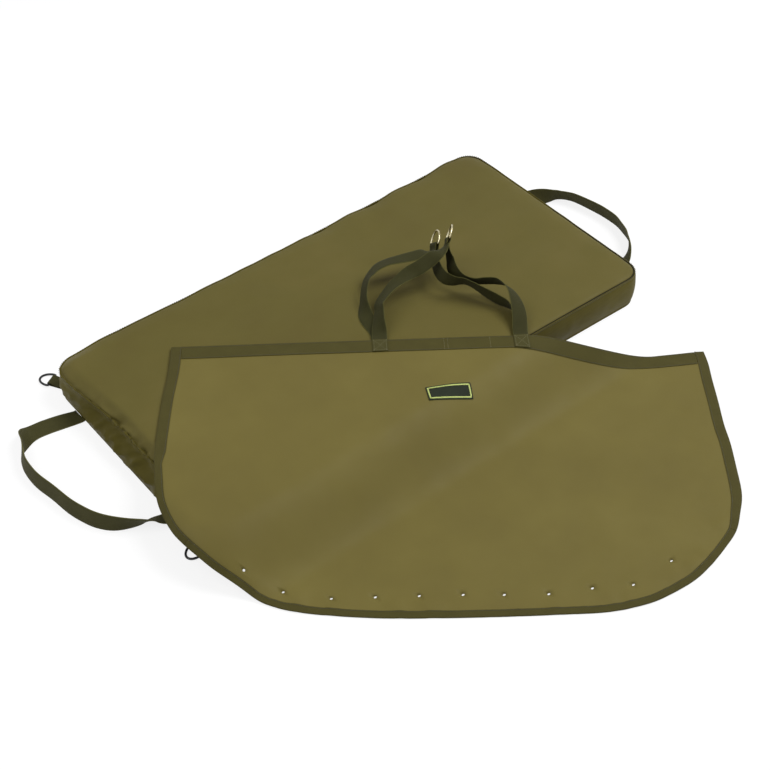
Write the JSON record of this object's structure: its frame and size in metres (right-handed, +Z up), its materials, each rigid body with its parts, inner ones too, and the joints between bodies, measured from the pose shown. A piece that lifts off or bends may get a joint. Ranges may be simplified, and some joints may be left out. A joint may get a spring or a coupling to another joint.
{
  "type": "unhooking mat",
  "caption": "Padded rectangular unhooking mat with carry handles at its ends and a rounded weigh sling with strap loops and rings draped over its front edge.",
  "frame": {"origin": "centre of the mat's underside, on the ground", "axes": "+X along the mat's length, +Y towards the back long edge (away from the sling), +Z up"},
  "size_m": [1.1472, 0.9651, 0.1541],
  "materials": {
    "foam": "closed cell foam, matt",
    "cover_cloth": "olive coated nylon, low sheen",
    "side_cloth": "olive coated nylon in shade, puckered at its seams",
    "sling_cloth": "olive coated nylon, low sheen",
    "band_tape": "woven tape, matt",
    "webbing": "woven polypropylene webbing, matt",
    "patch": "blank woven patch with a lighter border",
    "black_wire": "black coated steel wire",
    "nickel_wire": "bright nickel plated steel wire"
  },
  "bodies": {
    "mat": {"foam_core": "foam", "cover_top_panel": "cover_cloth", "cover_side_band": "side_cloth", "cover_base_panel": "side_cloth", "rear_ring_tab": "webbing", "front_ring_tab": "webbing"},
    "rear_tether_ring": {"rear_tether_ring": "black_wire"},
    "front_tether_ring": {"front_tether_ring": "black_wire"},
    "left_handle": {"left_carry_handle": "webbing"},
    "right_handle": {"right_carry_handle": "webbing"},
    "sling": {"sling_front_panel": "sling_cloth", "sling_rear_panel": "sling_cloth", "sling_front_top_band": "band_tape", "sling_rear_top_band": "band_tape", "sling_left_binding": "band_tape", "sling_right_binding": "band_tape", "sling_rim_binding": "band_tape", "label_patch": "patch", "front_strap_left_foot": "webbing", "front_strap_right_foot": "webbing", "rear_strap_left_foot": "webbing", "rear_strap_right_foot": "webbing"},
    "front_strap": {"front_sling_strap": "webbing"},
    "rear_strap": {"rear_sling_strap": "webbing"},
    "front_weigh_ring": {"front_weigh_ring": "nickel_wire"},
    "rear_weigh_ring": {"rear_weigh_ring": "nickel_wire"}
  },
  "joints": [
    {"name": "left_handle_lift", "type": "hinge", "parent": "mat", "child": "left_handle", "pos_m": [-0.4513, 0.012, 0.0021], "axis": [0, 1, 0], "range_deg": [0, 50]},
    {"name": "right_handle_lift", "type": "hinge", "parent": "mat", "child": "right_handle", "pos_m": [0.4513, -0.02, 0.0021], "axis": [0, -1, 0], "range_deg": [0, 58]},
    {"name": "rear_tether_ring_swing", "type": "hinge", "parent": "mat", "child": "rear_tether_ring", "pos_m": [-0.44715, 0.24322, 0.004], "axis": [0.866, 0.5, 0], "range_deg": [0, 150]},
    {"name": "front_tether_ring_swing", "type": "hinge", "parent": "mat", "child": "front_tether_ring", "pos_m": [-0.45607, -0.19859, 0.004], "axis": [-0.1908, 0.9816, 0], "range_deg": [0, 80]},
    {"name": "sling_lift", "type": "slide", "parent": "mat", "child": "sling", "axis": [0, 0, 1], "range_m": [0, 0.3]},
    {"name": "front_strap_lift", "type": "hinge", "parent": "sling", "child": "front_strap", "pos_m": [0.08042, -0.14442, 0.0713], "axis": [0.807, -0.5906, 0], "range_deg": [0, 90]},
    {"name": "rear_strap_lift", "type": "hinge", "parent": "sling", "child": "rear_strap", "pos_m": [0.08042, -0.14442, 0.0713], "axis": [0.807, -0.5906, 0], "range_deg": [0, 90]},
    {"name": "front_weigh_ring_swing", "type": "hinge", "parent": "front_strap", "child": "front_weigh_ring", "pos_m": [0.19023, -0.00859, 0.13307], "axis": [-0.3379, -0.6307, 0.6986], "range_deg": [-80, 10]},
    {"name": "rear_weigh_ring_swing", "type": "hinge", "parent": "rear_strap", "child": "rear_weigh_ring", "pos_m": [0.17717, 0.01021, 0.11616], "axis": [-0.1077, -0.7416, 0.6621], "range_deg": [-10, 80]}
  ],
  "couplings": [
    {"joint": "rear_strap_lift", "follows": "front_strap_lift", "ratio": 1}
  ]
}
